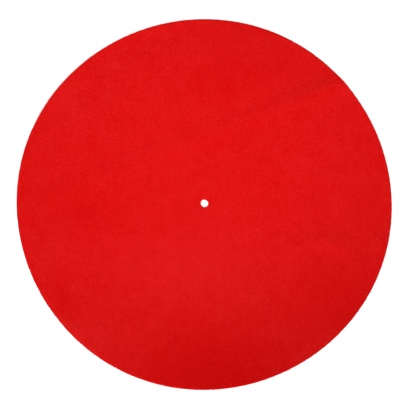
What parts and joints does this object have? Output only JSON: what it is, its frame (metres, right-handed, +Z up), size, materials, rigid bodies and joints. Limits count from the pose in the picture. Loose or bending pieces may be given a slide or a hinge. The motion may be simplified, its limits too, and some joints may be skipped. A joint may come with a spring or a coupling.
{
  "type": "turntable platter mat",
  "caption": "Thin round felt mat with a small spindle hole, laid loose on a turntable's platter to cushion the record and stop static.",
  "frame": {"origin": "spindle axis at the underside of the felt, in the middle of the hole", "axes": "+Z up along the spindle, away from the platter; +X to the right and +Y away for somebody in front of the turntable; the packing crease crosses behind the hole, 21 degrees anticlockwise from +X"},
  "size_m": [0.2952, 0.2952, 0.0044],
  "materials": {
    "red_felt": "matte"
  },
  "bodies": {
    "root": {"felt_mat": "red_felt"}
  },
  "joints": []
}
